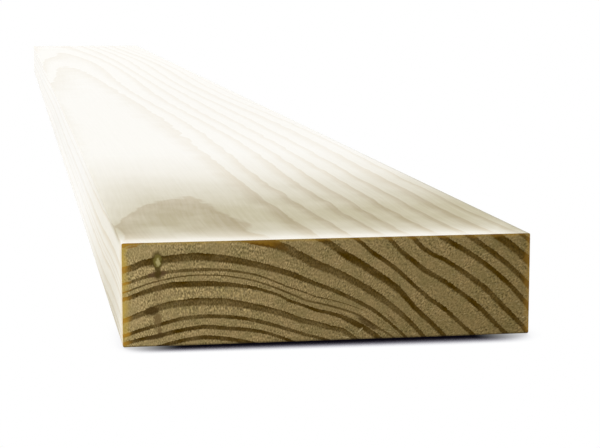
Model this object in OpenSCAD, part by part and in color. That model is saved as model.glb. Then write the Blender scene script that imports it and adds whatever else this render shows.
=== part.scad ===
// Dressed softwood plank: one straight length of timber, planed on its four long faces
// and sawn square at both ends. It lies on its wide face with its length along Y,
// and the origin is the middle of its underside.

/* [Plank] */
// Width across the wide planed face
plank_width = 140; // [60:5:290]
// Thickness between the two wide faces
plank_thickness = 35; // [12:1:75]
// Length from one sawn end to the other
plank_length = 1800; // [300:100:6000]

/* [Edges] */
// Radius of the eased arris along each of the four long edges
arris_radius = 0.5; // [0.2:0.1:5]

/* [Hidden] */
// Segments in a full circle of arris
$fn = 48;
// Flat parts of the section that are left between the eased arrises
flat_width = plank_width - 2 * arris_radius;
flat_thickness = plank_thickness - 2 * arris_radius;

// Dressed section, standing on the X axis: a rectangle with a quarter round at each corner
module dressed_section() {
    translate([0, plank_thickness / 2]) {
        square([plank_width, flat_thickness], center = true);
        square([flat_width, plank_thickness], center = true);
        for (side = [-1, 1], level = [-1, 1])
            translate([side * flat_width / 2, level * flat_thickness / 2])
                circle(r = arris_radius);
    }
}

// The whole plank: the dressed section carried from the far sawn end to the near one
module plank() {
    color("burlywood")
        translate([0, plank_length / 2, 0])
            rotate([90, 0, 0])
                linear_extrude(height = plank_length)
                    dressed_section();
}

plank();
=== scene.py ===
import math

import bpy
import numpy as np
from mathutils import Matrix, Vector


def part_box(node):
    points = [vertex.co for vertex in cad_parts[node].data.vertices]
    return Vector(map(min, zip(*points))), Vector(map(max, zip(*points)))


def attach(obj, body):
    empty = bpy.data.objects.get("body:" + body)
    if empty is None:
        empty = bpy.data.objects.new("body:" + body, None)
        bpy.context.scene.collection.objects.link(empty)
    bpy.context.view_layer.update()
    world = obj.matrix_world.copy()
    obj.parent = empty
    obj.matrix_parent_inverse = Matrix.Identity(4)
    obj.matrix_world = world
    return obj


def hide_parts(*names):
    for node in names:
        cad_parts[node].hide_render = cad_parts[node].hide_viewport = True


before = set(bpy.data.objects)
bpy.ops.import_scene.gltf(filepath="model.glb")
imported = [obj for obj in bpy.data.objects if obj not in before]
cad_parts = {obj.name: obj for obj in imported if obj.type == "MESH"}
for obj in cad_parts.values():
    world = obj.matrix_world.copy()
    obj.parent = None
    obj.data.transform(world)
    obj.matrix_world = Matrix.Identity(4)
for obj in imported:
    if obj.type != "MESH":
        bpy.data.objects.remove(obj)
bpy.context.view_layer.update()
plank_low, plank_high = (np.array(corner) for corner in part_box("plank"))

# Camera: a long lens, low in front of the near sawn end and a little to its left. Its place and turn
# follow from the corners of the sawn end and the run of the long edges in the photograph.
camera_from_corner = np.array((-0.0356, -0.5579, 0.1200))
camera_turn_right = math.radians(9.70)
camera_dip = math.radians(8.04)
camera_data = bpy.data.cameras.new("camera")
camera_data.sensor_fit = "HORIZONTAL"
camera_data.sensor_width = 36.0
camera_data.lens = 102.3
camera_data.clip_start = 0.01
camera = bpy.data.objects.new("camera", camera_data)
camera.location = plank_low + camera_from_corner
camera.rotation_euler = (math.pi / 2 - camera_dip, 0.0, -camera_turn_right)
bpy.context.collection.objects.link(camera)
bpy.context.scene.camera = camera

# Plank: one length of flat-sawn softwood, cut from a log whose pith lies below it. Its four long faces
# are planed and their arrises eased, and both ends are left as the cross-cut saw left them. Lengths are
# in millimetres, across and up from the lower left corner of the near end and along from that end.
MM = 0.001
width, length, thickness = (plank_high - plank_low) / MM
arris_radius = 0.5
columns, levels, stations = 241, 61, 110
near_station_share = 0.15
pith = np.array((26.0, -80.0))
innermost_radius = 78.5
outermost_radii = (165.0, 170.5, 176.0, 181.5, 187.0)

# One row for each year, from the pith outwards: depth of colour of the dark latewood, how much paler it
# is inside than at its edges, its thickness at even steps along the ring, and the ring's outer edge as
# (across, up). The outermost years show further along, where the pith has dropped, and are circles.
growth_rings = [
    (1.00, 0.0, (1.4, 1.7, 1.8, 1.9, 1.5), ((11, 0), (20, 2.3), (27, 3.2), (35, 2.4), (45, 0))),
    (1.00, 0.0, (1.6, 1.7, 1.8, 1.7, 1.5, 1.3),
     ((2, 2.2), (12, 4.1), (20, 5.9), (27, 6.8), (35, 5.9), (45, 4.6), (50, 3.3), (58, 0))),
    (0.95, 0.0, (1.4, 1.5, 1.6, 1.5, 1.5, 1.3, 1.2),
     ((2, 4.9), (12, 7.7), (20, 9.7), (28, 10.2), (35, 9.8), (45, 8.1), (55, 4.9), (62, 2.5), (70.5, 0))),
    (1.00, 0.22, (2.0, 2.7, 3.0, 3.3, 2.8, 2.5, 2.3, 2.1, 1.8),
     ((2, 10.2), (8, 12.7), (15, 14.9), (25, 15.9), (35, 15.4), (45, 13.2), (55, 10.3), (60, 8.1),
      (70, 5.2), (75, 3.9), (80, 0))),
    (1.00, 0.0, (1.8, 2.6, 2.8, 2.4, 1.7, 1.3, 1.4, 1.7, 2.5, 2.2),
     ((2, 17.3), (10, 20.2), (15, 21.5), (25, 21.8), (35, 21.1), (45, 19.2), (53, 16.4), (56, 14.6),
      (65, 11.2), (75, 8.5), (83, 4.3), (88.5, 0.2))),
    (0.80, 0.0, (0.6, 0.6, 0.6, 0.8, 0.9, 0.9, 0.9),
     ((2, 19.1), (10, 21.8), (20, 23.6), (27, 23.9), (35, 23.3), (45, 21.3), (55, 17.4), (62, 14.2),
      (70, 12.2), (80, 8.8), (87, 3.9), (93, 0))),
    (0.85, 0.0, (1.0, 1.4, 1.2, 0.9, 0.6, 0.4, 0.3, 0.1, 0.1),
     ((2, 22), (8, 24), (15, 25.5), (25, 25.9), (35, 25.4), (45, 23.4), (55, 19.1), (65, 15.2),
      (75, 12.5), (82, 9.8), (90, 4.6), (95, 0))),
    (1.00, 0.08, (2.5, 3.1, 3.3, 3.1, 2.7, 2.5, 2.3, 1.7, 1.5, 1.6, 1.5, 1.0),
     ((3, 27.6), (7, 29.3), (14, 30.4), (25, 31.2), (35, 30), (45, 27.6), (57, 23.9), (65, 20.2),
      (75, 16), (85, 10.6), (93, 3.8), (97, 0))),
    (1.00, 0.15, (1.4, 1.3, 2.3, 2.8, 3.7, 3.8, 3.4, 3.0, 2.7, 2.1, 1.6),
     ((2, 35), (12, 36.3), (20, 37.1), (25, 37.4), (32, 37.4), (41, 36.9), (51, 35), (56, 33),
      (65, 27.8), (75, 23.2), (85, 17.2), (94, 10.1), (100, 4.2), (103.5, 0))),
    (1.00, 0.0, (2.2, 2.6, 3.0, 3.4, 3.3, 3.1, 2.8, 2.3, 2.0, 2.0, 1.8),
     ((60, 38.8), (70, 34.4), (75, 30.8), (85, 24.6), (94, 18), (100, 10.9), (103, 7.9), (107, 4.2),
      (111, 0))),
    (1.00, 0.0, (1.6, 1.8, 1.8, 1.6, 1.6, 1.7, 1.6, 1.8),
     ((79.5, 35), (85, 30.2), (93, 24.6), (100, 18), (105, 13.6), (110, 10.1), (115, 5.5), (121, 0))),
    (1.00, 0.0, (2.0, 2.0, 2.2, 2.3, 2.1, 2.0, 2.1, 2.3, 2.1, 1.9),
     ((90.5, 35.3), (95, 30.4), (103, 24), (110, 19.7), (115, 16.3), (122, 10.9), (128, 4.9),
      (132.5, 0.3))),
    (1.00, 0.0, (2.0, 1.9, 1.8, 2.0, 2.3, 2.3, 2.3, 2.1, 1.9),
     ((99, 35.3), (102, 31.8), (106, 29), (110, 27.2), (117, 22.7), (125, 16.8), (132, 9.5), (138, 3.4))),
    (1.00, 0.0, (2.0, 2.2, 2.3, 2.2, 2.1, 2.1, 2.1),
     ((108.5, 35.5), (113, 32.8), (120, 28.7), (128, 22.7), (134, 17.3), (138, 12.9))),
    (1.00, 0.0, (2.1, 2.2, 2.2, 2.1, 2.0), ((118.5, 35.5), (125, 31), (132, 25.5), (138, 19.9))),
    (1.00, 0.0, (3.3, 3.3, 3.3), ((129.5, 35.1), (134, 32), (140, 26.9))),
    (0.90, 0.0, (1.6, 1.6), ((137, 35.4), (140, 33))),
]
growth_rings += [(0.80, 0.0, (0.9, 0.9), ((pith[0], pith[1] + radius),)) for radius in outermost_radii]

# The pith's course along the log: behind the near end it sways to the left and back, and drops. Further
# on it sways slowly to both sides and drops ever faster, and the rings ripple.
near_sway, near_sway_out, near_sway_back = 2.4, 18.0, 92.0
far_sway, far_sway_from, far_sway_wave = 3.0, 250.0, 170.0
near_drop, near_drop_reach = 3.0, 103.0
far_drop, far_drop_reach = 3.0, 900.0
ripple, ripples_around, ripple_wave = 0.5, 17.0, 95.0
innermost_late_share = 0.2
next_band_from = 0.3


def settled(along, reach, sharpness):
    """Nothing at the near end and nearly one past the reach: 1 - exp(-(along / reach) ** sharpness)."""
    return 1 - np.exp(-(along / reach) ** sharpness)


def log_field(across, along, up):
    """Angle and distance from the pith, age in years, and share of latewood in its year, of points.

    The pith sways and drops along the length. Between the points of its line, a ring's distance from the
    pith changes evenly with the angle, and so does the thickness of its latewood between its even steps.
    The age is the sum, over all years from the pith outwards, of how far a point lies through each. The
    share belongs to the latewood that is nearest outwards, or just inwards in the first part of a year.
    """
    far_along = settled(along, far_sway_from, sharpness=2)
    sway = near_sway * settled(along, near_sway_back, sharpness=6)
    sway -= near_sway * settled(along, near_sway_out, sharpness=1)
    sway += far_sway * far_along * np.sin(along / far_sway_wave)
    drop = near_drop * settled(along, near_drop_reach, sharpness=2.6)
    drop += far_drop * (along / far_drop_reach) ** 2
    side = across - sway - pith[0]
    height = up + drop - pith[1]
    angle = np.arctan2(side, height)
    radius = np.hypot(side, height)
    radius += ripple * far_along * np.sin(ripples_around * angle + along / ripple_wave)
    age = np.zeros_like(radius)
    late_share = np.full_like(radius, innermost_late_share)
    last_edge = innermost_radius
    for _, _, late_steps, line in growth_rings:
        line_side, line_height = (np.array(line) - pith).T
        line_angle = np.arctan2(line_side, line_height)
        edge = np.interp(angle, line_angle, np.hypot(line_side, line_height))
        steps_angle = np.linspace(line_angle[0], line_angle[-1], len(late_steps))
        late = np.interp(angle, steps_angle, late_steps)
        through_year = (radius - last_edge) / (edge - last_edge)
        late_share = np.where(through_year > next_band_from, late / (edge - last_edge), late_share)
        age += np.clip(through_year, 0, 1)
        last_edge = edge
    return angle, radius, age, late_share


# The cross-cut saw's centre, the pitch and depth of its tooth marks, and the depth and fineness of the
# torn fibres, as the phase of their waves for each radian around the pith and each year outwards.
saw_centre = (60.0, -420.0)
tooth_pitch, tooth_depth = 3.2, 0.03
torn_depth, torn_around, torn_outwards = 0.05, 900.0, 23.0


def sawn_relief(across, up, angle, age):
    """Depth of a sawn end below its plane.

    A wave over the distance from the saw's centre gives the arcs that its teeth leave, and the product of
    a wave over the angle and one over the age gives the torn fibres.
    """
    from_saw = np.hypot(across - saw_centre[0], up - saw_centre[1])
    tooth_marks = 0.5 + 0.5 * np.sin(from_saw * 2 * np.pi / tooth_pitch)
    torn_fibres = 0.5 + 0.5 * np.sin(angle * torn_around) * np.sin(age * torn_outwards)
    return tooth_depth * tooth_marks + torn_depth * torn_fibres


# The section's outline on square stations, with each corner point halfway round its arris. It runs from
# the lower left corner along the underside, up the right edge, back along the top and down the left edge.
corner_cut = arris_radius * (1 - math.sqrt(0.5))
flat_across = np.linspace(arris_radius, width - arris_radius, columns - 2)
flat_up = np.linspace(arris_radius, thickness - arris_radius, levels - 2)
station_across = np.concatenate(([0], flat_across, [width]))
station_up = np.concatenate(([0], flat_up, [thickness]))
end_across, end_up = np.meshgrid(station_across, station_up)
for row, toward_middle_up in ((0, 1), (-1, -1)):
    for column, toward_middle_across in ((0, 1), (-1, -1)):
        end_across[row, column] += toward_middle_across * corner_cut
        end_up[row, column] += toward_middle_up * corner_cut


def rim(grid):
    """The border of a grid as one closed round, starting at its first row and column."""
    return np.concatenate((grid[0, :-1], grid[:-1, -1], grid[-1, :0:-1], grid[:0:-1, 0]))


# Long faces: the outline carried along the length, with closer stations near the end in the photograph.
run = np.linspace(0, 1, stations)
along = length * (near_station_share * run + (1 - near_station_share) * run ** 2)
around = rim(end_across).size
side_across = np.broadcast_to(rim(end_across), (stations, around))
side_up = np.broadcast_to(rim(end_up), (stations, around))
side_along = np.broadcast_to(along[:, None], (stations, around))
side_index = np.arange(stations * around).reshape(stations, around)

# Sawn ends: the same square stations, whose border points are those of the first and last outline.
inner_count = (columns - 2) * (levels - 2)
inner_across, inner_up = end_across[1:-1, 1:-1].ravel(), end_up[1:-1, 1:-1].ravel()


def end_index(border, first_inner):
    """Vertex numbers of a sawn end's grid: the border in its round order, the rest counted by rows."""
    grid = np.zeros((levels, columns), dtype=int)
    grid[1:-1, 1:-1] = first_inner + np.arange(inner_count).reshape(levels - 2, columns - 2)
    grid[0, :-1] = border[:columns - 1]
    grid[:-1, -1] = border[columns - 1:columns + levels - 2]
    grid[-1, :0:-1] = border[columns + levels - 2:2 * columns + levels - 3]
    grid[:0:-1, 0] = border[2 * columns + levels - 3:]
    return grid


near_index = end_index(side_index[0], side_index.size)
far_index = end_index(side_index[-1], side_index.size + inner_count)
point_across = np.concatenate((side_across.ravel(), inner_across, inner_across))
point_up = np.concatenate((side_up.ravel(), inner_up, inner_up))
point_along = np.concatenate((side_along.ravel(), np.zeros(inner_count), np.full(inner_count, length)))
point_angle, point_radius, point_age, point_late_share = log_field(point_across, point_along, point_up)
relief = sawn_relief(point_across, point_up, point_angle, point_age)
relief[:side_index.size] = 0
toward_middle = np.where(point_along > length / 2, -1, 1)
points = np.stack((point_across, point_along + toward_middle * relief, point_up), axis=1) * MM + plank_low


def cell_corners(grid):
    """The values of a grid at the four corners of each of its cells, in order round the cell."""
    corners = (grid[:-1, :-1], grid[:-1, 1:], grid[1:, 1:], grid[1:, :-1])
    return np.stack(corners, axis=-1).reshape(-1, 4)


closed_sides = np.hstack((side_index, side_index[:, :1]))
side_quads = cell_corners(closed_sides)[:, ::-1]
near_quads = cell_corners(near_index)
far_quads = cell_corners(far_index)[:, ::-1]
quads = np.concatenate((side_quads, near_quads, far_quads))
plank_mesh = bpy.data.meshes.new("plank_timber")
plank_mesh.from_pydata(points, [], quads)
plank_mesh.polygons.foreach_set("use_smooth", np.ones(len(quads), dtype=bool))
is_end = np.repeat((0, 1), (len(side_quads), len(near_quads) + len(far_quads)))
plank_mesh.polygons.foreach_set("material_index", is_end)
plank_timber = bpy.data.objects.new("plank_timber", plank_mesh)
bpy.context.collection.objects.link(plank_timber)

# The saw leaves a crisp edge all round each end.
edge_ends = np.empty(2 * len(plank_mesh.edges), dtype=np.int32)
plank_mesh.edges.foreach_get("vertices", edge_ends)
edge_ends = edge_ends.reshape(-1, 2)
on_near_rim = (edge_ends < around).all(axis=1)
on_far_rim = ((edge_ends >= side_index[-1, 0]) & (edge_ends < side_index.size)).all(axis=1)
crisp = plank_mesh.attributes.new("sharp_edge", "BOOLEAN", "EDGE")
crisp.data.foreach_set("value", on_near_rim | on_far_rim)

# A flat pattern of the surface: the long faces unrolled round the section, cut along the lower left arris,
# and above them the two ends side by side, about one and a half times as large as the unrolled section.
map_margin = 0.004
sides_top, ends_low = 0.868, 0.880
step_across = np.diff(side_across[0], append=side_across[0, 0])
step_up = np.diff(side_up[0], append=side_up[0, 0])
round_steps = np.hypot(step_across, step_up)
round_share = np.concatenate(([0], np.cumsum(round_steps))) / round_steps.sum()
side_u, side_v = np.meshgrid(along / length, round_share, indexing="ij")
side_u = map_margin + (1 - 2 * map_margin) * side_u
side_v = map_margin + (sides_top - map_margin) * side_v
end_u = map_margin + (0.5 - 2 * map_margin) * end_across / width
end_v = ends_low + (1 - map_margin - ends_low) * end_up / thickness
corner_u = (cell_corners(side_u)[:, ::-1], cell_corners(end_u), 0.5 + cell_corners(end_u)[:, ::-1])
corner_v = (cell_corners(side_v)[:, ::-1], cell_corners(end_v), cell_corners(end_v)[:, ::-1])
flat_pattern = np.stack((np.concatenate(corner_u), np.concatenate(corner_v)), axis=-1)
plank_mesh.uv_layers.new(name="OFBake").uv.foreach_set("vector", flat_pattern.astype(np.float32).ravel())


def keep_on_points(name, values):
    """Store one number for each vertex, which the wood's materials read by name."""
    plank_mesh.attributes.new(name, "FLOAT", "POINT").data.foreach_set("value", values.astype(np.float32))


ring_number = np.clip(np.floor(point_age - next_band_from).astype(int), 0, len(growth_rings) - 1)
keep_on_points("ring_age", point_age)
keep_on_points("late_share", point_late_share)
keep_on_points("ring_depth", np.array([ring[0] for ring in growth_rings])[ring_number])
keep_on_points("pale_core", np.array([ring[1] for ring in growth_rings])[ring_number])

# A point's place in the log as lengths around the pith, outwards and along, for patterns that follow it.
middle_radius = 110.0
log_place = np.stack((point_angle * middle_radius, point_radius, point_along), axis=1) * MM
log_attribute = plank_mesh.attributes.new("log_place", "FLOAT_VECTOR", "POINT")
log_attribute.data.foreach_set("vector", log_place.astype(np.float32).ravel())

# How near a point is to the left, top and right edges of the section, which the sawn ends' painted glow
# rim follows.
left_rim_reach, top_rim_reach, right_rim_reach = 6.0, 3.0, 5.5
top_rim_share, right_rim_share = 0.95, 0.9


def nearness(distance, reach):
    """One at an edge, falling evenly to nothing at its reach."""
    return np.clip(1 - distance / reach, 0, 1)


near_edge = np.maximum.reduce((
    nearness(point_across, left_rim_reach),
    top_rim_share * nearness(thickness - point_up, top_rim_reach),
    right_rim_share * nearness(width - point_across, right_rim_reach),
))
keep_on_points("near_edge", near_edge)


def add_node(tree, kind, inputs=None, **settings):
    """A new shader node, its settings, and its inputs as plain values or as the sockets that feed them."""
    node = tree.nodes.new(kind)
    for name, value in settings.items():
        setattr(node, name, value)
    for name, value in (inputs or {}).items():
        if isinstance(value, bpy.types.NodeSocket):
            tree.links.new(value, node.inputs[name])
        else:
            node.inputs[name].default_value = value
    return node


def math_node(tree, operation, *values):
    """The result of one Math node."""
    return add_node(tree, "ShaderNodeMath", dict(enumerate(values)), operation=operation).outputs[0]


def product(tree, first, second):
    """Two values multiplied."""
    return math_node(tree, "MULTIPLY", first, second)


def vector_node(tree, operation, first, second):
    """The vector that one Vector Math node makes of two others."""
    return add_node(tree, "ShaderNodeVectorMath", {0: first, 1: second}, operation=operation).outputs[0]


def smooth_rise(tree, value, low, high):
    """Nothing below low, one above high, and a smooth rise between, or a fall where low is the greater."""
    inputs = {"Value": value, "From Min": low, "From Max": high}
    return add_node(tree, "ShaderNodeMapRange", inputs, interpolation_type="SMOOTHSTEP").outputs[0]


def between(tree, value, rise, fall):
    """The product of a smooth rise and a smooth fall, each given as (nothing at, one at)."""
    return product(tree, smooth_rise(tree, value, *rise), smooth_rise(tree, value, *fall))


def mix_colour(tree, share, first, second, blend="MIX"):
    """Two colours mixed by a share from 0 to 1."""
    inputs = {0: share, 6: first, 7: second}
    return add_node(tree, "ShaderNodeMix", inputs, data_type="RGBA", blend_type=blend).outputs[2]


def ramp(tree, share, *stops):
    """A grey value or a colour that runs evenly between stops, each given as (place, value or colour)."""
    node = add_node(tree, "ShaderNodeValToRGB", {0: share})
    elements = node.color_ramp.elements
    while len(elements) < len(stops):
        elements.new(1.0)
    for element, (place, value) in zip(elements, stops):
        element.position = place
        element.color = value if isinstance(value, tuple) else (value, value, value, 1.0)
    return node.outputs[0]


def paint(red, green, blue):
    """A colour given as it shows on screen, from 0 to 255, in the linear values that shaders take."""
    shown = np.array((red, green, blue)) / 255
    linear = np.where(shown <= 0.04045, shown / 12.92, ((shown + 0.055) / 1.055) ** 2.4)
    return (*linear, 1.0)


def noise(tree, place, scale, detail):
    """The outputs of one Noise Texture node: Fac is one value, and Color holds three."""
    inputs = {"Vector": place, "Scale": scale, "Detail": detail}
    return add_node(tree, "ShaderNodeTexNoise", inputs).outputs


def object_place(tree):
    """A point's place in Object coordinates, which are in metres."""
    return add_node(tree, "ShaderNodeTexCoord").outputs["Object"]


def axes(tree, place):
    """The X, Y and Z of a place."""
    return add_node(tree, "ShaderNodeSeparateXYZ", {0: place}).outputs


def surface_value(tree, name):
    """A number kept on the plank's points."""
    return add_node(tree, "ShaderNodeAttribute", attribute_name=name).outputs["Fac"]


def new_group(name, inputs, outputs):
    """An empty shader node group with named number inputs and outputs."""
    tree = bpy.data.node_groups.new(name, "ShaderNodeTree")
    for socket, default in inputs.items():
        added = tree.interface.new_socket(socket, in_out="INPUT", socket_type="NodeSocketFloat")
        added.default_value = default
    for socket in outputs:
        tree.interface.new_socket(socket, in_out="OUTPUT", socket_type="NodeSocketFloat")
    return tree, tree.nodes.new("NodeGroupInput").outputs, tree.nodes.new("NodeGroupOutput").inputs


# Growth rings as a shader group: latewood darkens outwards through the last part of each year and stops
# short where the next year's pale earlywood begins. Some rings are paler inside than at their edges.
ring_inputs = {"Shift": 0.0, "Rise From": 0.0, "Rise To": 0.28, "Outer Fade": 0.08}
pale_rise, pale_fall = (0.0, 0.35), (0.92, 0.6)
rings_tree, rings_in, rings_out = new_group("growth_rings", ring_inputs, ("Latewood",))
age = math_node(rings_tree, "ADD", surface_value(rings_tree, "ring_age"), rings_in["Shift"])
to_edge = math_node(rings_tree, "SUBTRACT", 1.0, math_node(rings_tree, "FRACT", age))
to_edge = math_node(rings_tree, "DIVIDE", to_edge, surface_value(rings_tree, "late_share"))
into_late = math_node(rings_tree, "SUBTRACT", 1.0, to_edge)
risen = smooth_rise(rings_tree, into_late, rings_in["Rise From"], rings_in["Rise To"])
fade_from = math_node(rings_tree, "SUBTRACT", 1.0, rings_in["Outer Fade"])
risen = product(rings_tree, risen, smooth_rise(rings_tree, into_late, 1.0, fade_from))
inside = between(rings_tree, into_late, pale_rise, pale_fall)
paled = product(rings_tree, inside, surface_value(rings_tree, "pale_core"))
deep = product(rings_tree, risen, surface_value(rings_tree, "ring_depth"))
latewood = product(rings_tree, deep, math_node(rings_tree, "SUBTRACT", 1.0, paled))
rings_tree.links.new(latewood, rings_out["Latewood"])

# Wood fibres as a shader group: fine noise drawn out around the pith, away from it and along the log.
fibre_inputs = {"Around": 2200.0, "Outward": 700.0, "Along": 15.0, "Detail": 2.0}
fibre_tree, fibre_in, fibre_out = new_group("wood_fibres", fibre_inputs, ("Fibre",))
log_at = add_node(fibre_tree, "ShaderNodeAttribute", attribute_name="log_place").outputs["Vector"]
fineness = add_node(fibre_tree, "ShaderNodeCombineXYZ",
                    {"X": fibre_in["Around"], "Y": fibre_in["Outward"], "Z": fibre_in["Along"]}).outputs[0]
drawn_out = vector_node(fibre_tree, "MULTIPLY", log_at, fineness)
fibre = noise(fibre_tree, drawn_out, 1.0, fibre_in["Detail"])["Fac"]
fibre_tree.links.new(fibre, fibre_out["Fibre"])


def new_wood(name):
    """A material of the plank, as its tree and its Principled shader."""
    material = bpy.data.materials.new(name)
    material.use_nodes = True
    plank_mesh.materials.append(material)
    return material.node_tree, material.node_tree.nodes["Principled BSDF"]


def rings(tree, inputs):
    """Share of latewood from the shared group, with its own inputs."""
    return add_node(tree, "ShaderNodeGroup", inputs, node_tree=rings_tree).outputs["Latewood"]


def fibres(tree, **fineness):
    """Fibre noise from the shared group, with its own fineness each way."""
    return add_node(tree, "ShaderNodeGroup", fineness, node_tree=fibre_tree).outputs["Fibre"]


def ring_shift(tree, value, years, outwards=0.0):
    """Shift of the rings: a noise value times the years, less half the years and a steady shift outwards."""
    return math_node(tree, "MULTIPLY_ADD", value, years, -0.5 * years - outwards)


# Planed faces: softwood cut smooth along the grain by a planer's knives, so that the rings show as long
# bands. It is tan behind the near end, painted pale at the very end as a painted highlight and painted
# paler further back as a painted fade of glare, where it also has a satin polish. Lengths are in metres
# here and below, as Object coordinates are.
planed_tree, planed = new_wood("planed_face")
planed_wave = fibres(planed_tree, Around=80.0, Outward=60.0, Along=40.0, Detail=3.0)
planed_shift = ring_shift(planed_tree, planed_wave, years=0.35)
planed_late = rings(planed_tree, {"Shift": planed_shift, "Rise From": -0.5, "Rise To": 0.9,
                                  "Outer Fade": 0.15})
planed_at = axes(planed_tree, object_place(planed_tree))
from_end = math_node(planed_tree, "SUBTRACT", planed_at["Y"], plank_low[1])
from_left = math_node(planed_tree, "SUBTRACT", planed_at["X"], plank_low[0])
from_right = math_node(planed_tree, "SUBTRACT", plank_high[0], planed_at["X"])
share_up = math_node(planed_tree, "DIVIDE", planed_at["Z"], plank_high[2])
on_top = smooth_rise(planed_tree, share_up, 0.9, 1.0)

# The top is tan in blotches, most of all about 60 mm behind the end and less along its left edge, and is
# painted pale at the very end and further back as painted highlight and glare. The sides are less tan and
# darker towards the bottom, a painted shade near the floor; the right corner is fully tan, and the
# sheltered right side and underside evenly.
painted_fade_reach = 0.3
bleached_edge, bleached_from, bleached_share = (0.022, -0.008), (0.03, 0.07), 0.6
corner_edge, corner_reach = (0.016, 0.0), (0.1, 0.0)
sheltered_edge, sheltered_share = (arris_radius * MM, 0.0), 0.4
tan_and_painted_fade = ramp(planed_tree, math_node(planed_tree, "DIVIDE", from_end, painted_fade_reach),
                (0.0, 0.0), (0.03, 0.3), (0.08, 0.8), (0.15, 1.0), (0.23, 1.0), (0.45, 0.6),
                (0.67, 0.22), (1.0, 0.0))
bleached = product(planed_tree, smooth_rise(planed_tree, from_left, *bleached_edge),
                   smooth_rise(planed_tree, from_end, *bleached_from))
top_share = math_node(planed_tree, "SUBTRACT", 1.0, product(planed_tree, bleached, bleached_share))
# The sides darken towards the bottom as painted shade near the floor.
side_tan_and_low_shade = ramp(planed_tree, share_up, (0.0, 0.65), (0.35, 0.25), (1.0, 0.08))
tan_and_painted_fade = product(planed_tree, tan_and_painted_fade, mix_colour(planed_tree, on_top, side_tan_and_low_shade, top_share))
tan_and_painted_fade = product(planed_tree, tan_and_painted_fade, ramp(planed_tree, planed_wave, (0.3, 0.9), (0.7, 1.1)))
right_corner = product(planed_tree, smooth_rise(planed_tree, from_right, *corner_edge),
                       smooth_rise(planed_tree, from_end, *corner_reach))
tan_and_painted_fade = math_node(planed_tree, "MAXIMUM", tan_and_painted_fade, right_corner)
sheltered = math_node(planed_tree, "MAXIMUM", smooth_rise(planed_tree, from_right, *sheltered_edge),
                      smooth_rise(planed_tree, planed_at["Z"], *sheltered_edge))
tan_and_painted_fade = math_node(planed_tree, "MAXIMUM", tan_and_painted_fade, product(planed_tree, sheltered, sheltered_share))
early_painted_pale, early_yellow = paint(242, 237, 223), paint(183, 173, 136)
late_painted_pale, late_yellow = paint(227, 215, 188), paint(158, 141, 96)
early = mix_colour(planed_tree, tan_and_painted_fade, early_painted_pale, early_yellow)
late = mix_colour(planed_tree, tan_and_painted_fade, late_painted_pale, late_yellow)
planed_wood = mix_colour(planed_tree, planed_late, early, late)

# The last centimetre is painted: pale on top, a painted highlight along the near edge, and an amber band
# on the sides. The top's right arris is painted darker, a painted shade along it.
front_band_reach, arris_shade_edge = (0.013, 0.0), (0.002, 0.0002)
amber_band_side, painted_highlight_top, arris_shade_colour = paint(230, 209, 158), paint(247, 243, 233), paint(150, 142, 116)
highlight_and_amber_band = product(planed_tree, smooth_rise(planed_tree, from_end, *front_band_reach),
                ramp(planed_tree, from_right, (0.0, 0.25), (0.02, 0.75)))
planed_wood = mix_colour(planed_tree, highlight_and_amber_band, planed_wood,
                         mix_colour(planed_tree, on_top, amber_band_side, painted_highlight_top))
# Painted shade along the top's right arris.
arris_shade = product(planed_tree, smooth_rise(planed_tree, from_right, *arris_shade_edge),
                 ramp(planed_tree, from_end, (0.0, 0.75), (0.6, 0.0)))
arris_shade = product(planed_tree, arris_shade, on_top)
planed_wood = mix_colour(planed_tree, arris_shade, planed_wood, arris_shade_colour)
planed_fibre = fibres(planed_tree, Around=1100.0, Outward=1100.0, Along=12.0)
planed_grey = ramp(planed_tree, planed_fibre, (0.3, 0.98), (0.7, 1.0))
planed_wood = mix_colour(planed_tree, 1.0, planed_wood, planed_grey, "MULTIPLY")
planed_tree.links.new(planed_wood, planed.inputs["Base Color"])

# The polish grows from 80 to 300 mm behind the end, and the fibres keep a faint relief.
polished = ramp(planed_tree, from_end, (0.08, 0.0), (0.16, 0.2), (0.22, 0.55), (0.3, 0.9))
dull = ramp(planed_tree, planed_fibre, (0.3, 0.5), (0.7, 0.4))
satin = ramp(planed_tree, planed_fibre, (0.3, 0.36), (0.7, 0.3))
planed_roughness = mix_colour(planed_tree, polished, dull, satin)
planed_tree.links.new(planed_roughness, planed.inputs["Roughness"])
planed_tree.links.new(polished, planed.inputs["Coat Weight"])
planed.inputs["Coat Roughness"].default_value = 0.18
planed_bump = add_node(planed_tree, "ShaderNodeBump",
                       {"Height": planed_fibre, "Strength": 0.15, "Distance": 0.0001})
planed_tree.links.new(planed_bump.outputs[0], planed.inputs["Normal"])

# Sawn ends: the log's years cut across by a saw and left rough, matt and darker than the planed faces.
# The earlywood is torn into short fibres, and the latewood's colour is uneven.
sawn_tree, sawn = new_wood("sawn_end")
ragged = fibres(sawn_tree, Around=1500.0, Outward=400.0, Along=40.0)
sawn_rings = rings(sawn_tree, {"Shift": ring_shift(sawn_tree, ragged, years=0.16, outwards=0.03)})
uneven = fibres(sawn_tree, Around=140.0, Outward=220.0, Along=40.0, Detail=3.0)
sawn_late = product(sawn_tree, sawn_rings, ramp(sawn_tree, uneven, (0.3, 0.72), (0.65, 1.0)))
sawn_place = object_place(sawn_tree)
sawn_at = axes(sawn_tree, sawn_place)
across_span = {"Value": sawn_at["X"], "From Min": plank_low[0], "From Max": plank_high[0]}
share_across = add_node(sawn_tree, "ShaderNodeMapRange", across_span).outputs[0]

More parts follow.
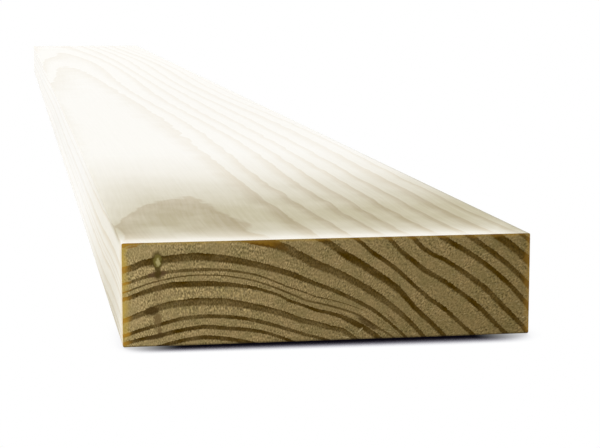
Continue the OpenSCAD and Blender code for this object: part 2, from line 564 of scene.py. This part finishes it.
# Earlywood is paler at the left, mottled, and torn more deeply at the left and in roughly cut patches.
early = ramp(sawn_tree, share_across, (0.03, paint(147, 129, 87)), (0.12, paint(136, 119, 79)),
             (0.4, paint(126, 109, 71)), (1.0, paint(111, 95, 58)))
mottling = ramp(sawn_tree, noise(sawn_tree, sawn_place, 180.0, 2.0)["Fac"],
                (0.3, (0.84, 0.87, 0.82, 1.0)), (0.7, (1.13, 1.10, 1.14, 1.0)))
early = mix_colour(sawn_tree, 1.0, early, mottling, "MULTIPLY")
torn = fibres(sawn_tree, Around=2400.0, Outward=1150.0, Along=40.0, Detail=1.0)
torn_left = ramp(sawn_tree, torn, (0.28, (0.36, 0.35, 0.28, 1.0)), (0.5, (0.98, 0.98, 0.98, 1.0)),
                 (0.72, (1.84, 1.84, 1.96, 1.0)))
torn_right = ramp(sawn_tree, torn, (0.28, (0.40, 0.39, 0.34, 1.0)), (0.5, (1.0, 1.0, 1.0, 1.0)),
                  (0.72, (1.60, 1.60, 1.68, 1.0)))
torn_tint = mix_colour(sawn_tree, smooth_rise(sawn_tree, share_across, 0.3, 0.6), torn_left, torn_right)
roughly_cut = noise(sawn_tree, sawn_place, 140.0, 1.0)["Fac"]
roughly_cut = ramp(sawn_tree, roughly_cut, (0.35, 0.45), (0.6, 1.0))
early = mix_colour(sawn_tree, roughly_cut, early, torn_tint, "MULTIPLY")

# In two wide years at the left, the saw has plucked the earlywood into coarse pale flecks.
flecks = fibres(sawn_tree, Around=1300.0, Outward=600.0, Along=40.0, Detail=0.0)
flecks = ramp(sawn_tree, flecks, (0.35, 0.82), (0.5, 1.06), (0.7, 1.4))
plucked_years = between(sawn_tree, surface_value(sawn_tree, "ring_age"), (3.0, 3.3), (5.0, 4.7))
plucked_across = between(sawn_tree, share_across, (0.08, 0.14), (0.38, 0.25))
plucked = product(sawn_tree, plucked_years, plucked_across)
early = mix_colour(sawn_tree, plucked, early, mix_colour(sawn_tree, 1.0, early, flecks, "MULTIPLY"))

# Short pale fibres that the saw has lifted, leaning both ways. The latewood is less torn.
lifted_leans, lifted_fineness, lifted_share = (-0.6, 0.7), (500.0, 300.0, 2400.0), 0.35
lifted_pale, late_brown, late_torn_share = paint(182, 166, 126), paint(60, 42, 0), 0.6
for lean in lifted_leans:
    turned = add_node(sawn_tree, "ShaderNodeMapping",
                      {"Vector": sawn_place, "Rotation": (0.0, lean, 0.0), "Scale": lifted_fineness})
    lifted = smooth_rise(sawn_tree, noise(sawn_tree, turned.outputs[0], 1.0, 1.0)["Fac"], 0.62, 0.78)
    early = mix_colour(sawn_tree, product(sawn_tree, lifted, lifted_share), early, lifted_pale)
late = mix_colour(sawn_tree, late_torn_share, late_brown, torn_tint, "MULTIPLY")
sawn_wood = mix_colour(sawn_tree, sawn_late, early, late)

# Marks on the near end, whose outlines wander a little: a bud trace near the top left, which is a small
# shoot that the tree grew over, with a dark tail towards the pith and smudges below, soaked streaks at the
# top edge, and low down a dark smudge with pale scratches.
mark_wander = 0.0012
mark_fade = (1.1, 0.6)
wander = noise(sawn_tree, sawn_place, 900.0, 1.0)["Color"]
wander = vector_node(sawn_tree, "SUBTRACT", wander, (0.5, 0.5, 0.5))
wander = vector_node(sawn_tree, "MULTIPLY", wander, (mark_wander, mark_wander, mark_wander))
wandered = vector_node(sawn_tree, "ADD", sawn_place, wander)


def mark(across, up, half_across, half_up, strength, lean=0.0):
    """Share of an oval mark on the near end, in millimetres from its lower left corner.

    The distance from its centre, as a share of its half sizes, is turned into a smooth fall at its outline.
    Its lean is clockwise, in degrees.
    """
    centre = plank_low + np.array((across, 0.0, up)) * MM
    half_sizes = np.array((half_across, half_up, half_up)) * MM
    inputs = {"Vector": wandered, "Location": centre, "Rotation": (0.0, math.radians(lean), 0.0),
              "Scale": half_sizes}
    within = add_node(sawn_tree, "ShaderNodeMapping", inputs, vector_type="TEXTURE").outputs[0]
    reach = add_node(sawn_tree, "ShaderNodeVectorMath", {0: within}, operation="LENGTH").outputs["Value"]
    return product(sawn_tree, smooth_rise(sawn_tree, reach, *mark_fade), strength)


bud_brown, bud_green, bud_pale = paint(66, 53, 18), paint(106, 96, 46), paint(163, 152, 104)
tail_brown, streak_amber = paint(78, 58, 36), paint(130, 94, 34)
smudge_brown, smudge_grey, scratch_white = paint(60, 43, 14), paint(102, 83, 50), paint(190, 174, 132)
soaked_amber, soaked_brown = paint(112, 80, 18), paint(84, 57, 12)
for share, colour in (
    (mark(3.6, 33.9, 3.0, 0.5, 0.8, lean=-12.0), streak_amber),
    (mark(11.8, 15.0, 1.5, 16.0, 0.25), smudge_grey),
    (mark(11.8, 24.3, 3.8, 1.2, 0.85, lean=-10.0), tail_brown),
    (mark(11.9, 25.6, 1.3, 3.4, 0.8), bud_brown),
    (mark(11.7, 28.9, 2.3, 3.5, 0.85), bud_brown),
    (mark(11.8, 28.8, 1.5, 2.4, 0.85), bud_green),
    (mark(12.0, 28.4, 0.8, 1.6, 0.8), bud_pale),
    (mark(9.8, 11.9, 2.7, 1.7, 0.8, lean=-15.0), smudge_brown),
    (mark(11.6, 9.1, 1.6, 2.1, 0.8), smudge_grey),
    (mark(12.3, 5.1, 0.9, 1.6, 0.7), smudge_grey),
    (mark(11.2, 3.3, 3.6, 1.1, 0.7, lean=-13.0), smudge_brown),
    (mark(47.0, 34.0, 6.5, 1.2, 0.9, lean=8.0), soaked_amber),
    (mark(47.5, 33.1, 6.5, 0.5, 0.8, lean=12.0), soaked_brown),
    (mark(53.0, 32.7, 3.6, 1.2, 0.55, lean=25.0), soaked_brown),
    (mark(83.0, 5.4, 5.0, 1.1, 0.75, lean=35.0), smudge_brown),
    (mark(80.5, 3.0, 1.7, 0.3, 0.5, lean=-40.0), scratch_white),
    (mark(76.0, 0.6, 0.8, 0.3, 0.4), scratch_white),
):
    sawn_wood = mix_colour(sawn_tree, share, sawn_wood, colour)

# An amber rim, ragged and turning rusty along the latewood: a painted glow where light passes through
# the edges of the end. The lowest edge is painted dark, a painted shade where it meets the floor.
rim_raggedness, glow_strength = 0.7, 0.8
shaded_low_edge, low_edge_shade_strength, low_edge_shade_black = (0.0007, 0.0001), 0.6, paint(30, 24, 14)
ragged_rim = math_node(sawn_tree, "SUBTRACT", noise(sawn_tree, sawn_place, 260.0, 2.0)["Fac"], 0.5)
ragged_rim = product(sawn_tree, ragged_rim, rim_raggedness)
near_rim = math_node(sawn_tree, "ADD", surface_value(sawn_tree, "near_edge"), ragged_rim)
glow_share = smooth_rise(sawn_tree, near_rim, 0.55, 1.0)
glow_amber = ramp(sawn_tree, share_across, (0.0, paint(178, 150, 68)), (0.06, paint(158, 132, 66)),
             (1.0, paint(142, 112, 52)))
rust_glow_share = product(sawn_tree, smooth_rise(sawn_tree, near_rim, 0.4, 0.95), sawn_rings)
glow_rust = ramp(sawn_tree, share_across, (0.0, paint(160, 114, 28)), (0.08, paint(116, 83, 20)),
            (1.0, paint(106, 75, 20)))
# Painted glow: amber along the rim, rusty on the latewood.
sawn_wood = mix_colour(sawn_tree, product(sawn_tree, glow_share, glow_strength), sawn_wood, glow_amber)
sawn_wood = mix_colour(sawn_tree, product(sawn_tree, rust_glow_share, glow_strength), sawn_wood, glow_rust)
# Painted shade along the lowest edge, where the end meets the floor.
low_edge_shade = product(sawn_tree, smooth_rise(sawn_tree, sawn_at["Z"], *shaded_low_edge), low_edge_shade_strength)
sawn_wood = mix_colour(sawn_tree, low_edge_shade, sawn_wood, low_edge_shade_black)
sawn_tree.links.new(sawn_wood, sawn.inputs["Base Color"])
sawn_tree.links.new(ramp(sawn_tree, torn, (0.3, 0.92), (0.7, 0.75)), sawn.inputs["Roughness"])
sawn.inputs["Specular IOR Level"].default_value = 0.04
sawn_bump = add_node(sawn_tree, "ShaderNodeBump",
                     {"Height": math_node(sawn_tree, "ADD", torn, sawn_late), "Strength": 0.3,
                      "Distance": 0.0003})
sawn_tree.links.new(sawn_bump.outputs[0], sawn.inputs["Normal"])

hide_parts("plank")
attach(plank_timber, "root")

# Floor: plain white paper that runs out of sight under the plank. It is bright to the eye and in
# reflections, and keeps the plank's soft shadow in front of the sawn end and along the right side.
floor_half = 30.0
floor_gap = 0.0002
floor_across = floor_half * np.array((-1, 1, 1, -1))
floor_along = floor_half * np.array((-1, -1, 1, 1))
floor_corners = np.stack((floor_across, floor_along, np.full(4, -floor_gap)), axis=1)
floor_mesh = bpy.data.meshes.new("floor")
floor_mesh.from_pydata(floor_corners, [], [(0, 1, 2, 3)])
floor = bpy.data.objects.new("floor", floor_mesh)
bpy.context.collection.objects.link(floor)
floor_material = bpy.data.materials.new("white_paper")
floor_material.use_nodes = True
floor_mesh.materials.append(floor_material)
floor_tree = floor_material.node_tree
floor_tree.nodes.remove(floor_tree.nodes["Principled BSDF"])

# The shadow deepens as the plank hides more of the sky behind it, within a reach that grows to the right.
toward_light = add_node(floor_tree, "ShaderNodeCombineXYZ", {"X": 0.0, "Y": 0.9, "Z": 0.43}).outputs[0]
floor_at = axes(floor_tree, object_place(floor_tree))
shadow_reach = add_node(floor_tree, "ShaderNodeMapRange",
                        {"Value": floor_at["X"], "From Min": plank_low[0] + 0.01,
                         "From Max": plank_high[0] - 0.03, "To Min": 0.0135, "To Max": 0.0175}).outputs[0]
open_sky = add_node(floor_tree, "ShaderNodeAmbientOcclusion",
                    {"Distance": shadow_reach, "Normal": toward_light}, samples=32).outputs["AO"]
paper_white = paint(255, 255, 255)
shade = ramp(floor_tree, open_sky, (0.40, paint(8, 6, 14)), (0.47, paint(60, 57, 66)),
             (0.55, paint(140, 138, 146)), (0.64, paint(206, 205, 210)), (0.74, paint(244, 244, 246)),
             (0.82, paper_white))

# The shadow fades out towards both corners of the end and behind it, and is weaker along the right side.
end_fade = (plank_high[0] + 0.01, plank_high[0] - 0.02)
behind_end = (plank_low[1] + 0.05, plank_low[1])
right_edge = (plank_high[0] - 0.01, plank_high[0])
right_from = (plank_low[1] + 0.06, plank_low[1] + 0.12)
right_strength = 0.6
in_front = product(floor_tree,
                   smooth_rise(floor_tree, math_node(floor_tree, "ABSOLUTE", floor_at["X"]), *end_fade),
                   smooth_rise(floor_tree, floor_at["Y"], *behind_end))
beside = product(floor_tree, smooth_rise(floor_tree, floor_at["X"], *right_edge),
                 smooth_rise(floor_tree, floor_at["Y"], *right_from))
beside = product(floor_tree, beside, right_strength)
shadow_share = math_node(floor_tree, "MAXIMUM", in_front, beside)
seen_shade = mix_colour(floor_tree, shadow_share, paper_white, shade)
seen_paper = add_node(floor_tree, "ShaderNodeEmission", {"Color": seen_shade, "Strength": 1.0}).outputs[0]
lit_paper = add_node(floor_tree, "ShaderNodeBsdfDiffuse", {"Color": (0.8, 0.8, 0.8, 1.0)}).outputs[0]


def seen_directly(tree):
    """One for what is seen straight on, in a gloss or through glass, and nothing for other light."""
    path = add_node(tree, "ShaderNodeLightPath").outputs
    seen = math_node(tree, "MAXIMUM", path["Is Camera Ray"], path["Is Glossy Ray"])
    return math_node(tree, "MAXIMUM", seen, path["Is Transmission Ray"])


paper = add_node(floor_tree, "ShaderNodeMixShader",
                 {0: seen_directly(floor_tree), 1: lit_paper, 2: seen_paper}).outputs[0]
floor_tree.links.new(paper, floor_tree.nodes["Material Output"].inputs["Surface"])

# Light: an even white studio, with one soft lamp high at the front left that brings out the sawn end.
# Reflections show the studio and not the lamp, so the planed faces keep their colour from every side.
studio_light = 0.79
world = bpy.data.worlds.new("studio")
world.use_nodes = True
bpy.context.scene.world = world
world_tree = world.node_tree
strength = add_node(world_tree, "ShaderNodeMapRange",
                    {"Value": seen_directly(world_tree), "To Min": studio_light, "To Max": 1.0}).outputs[0]
world_tree.links.new(strength, world_tree.nodes["Background"].inputs["Strength"])
world_tree.nodes["Background"].inputs["Color"].default_value = (1.0, 1.0, 1.0, 1.0)

lamp_data = bpy.data.lights.new("soft_lamp", "SUN")
lamp_data.energy = 1.45
lamp_data.angle = math.radians(40)
lamp = bpy.data.objects.new("soft_lamp", lamp_data)
lamp.rotation_euler = (math.radians(56), 0.0, math.radians(-33))
lamp.visible_glossy = False
bpy.context.collection.objects.link(lamp)

bpy.context.scene.view_settings.view_transform = "Standard"
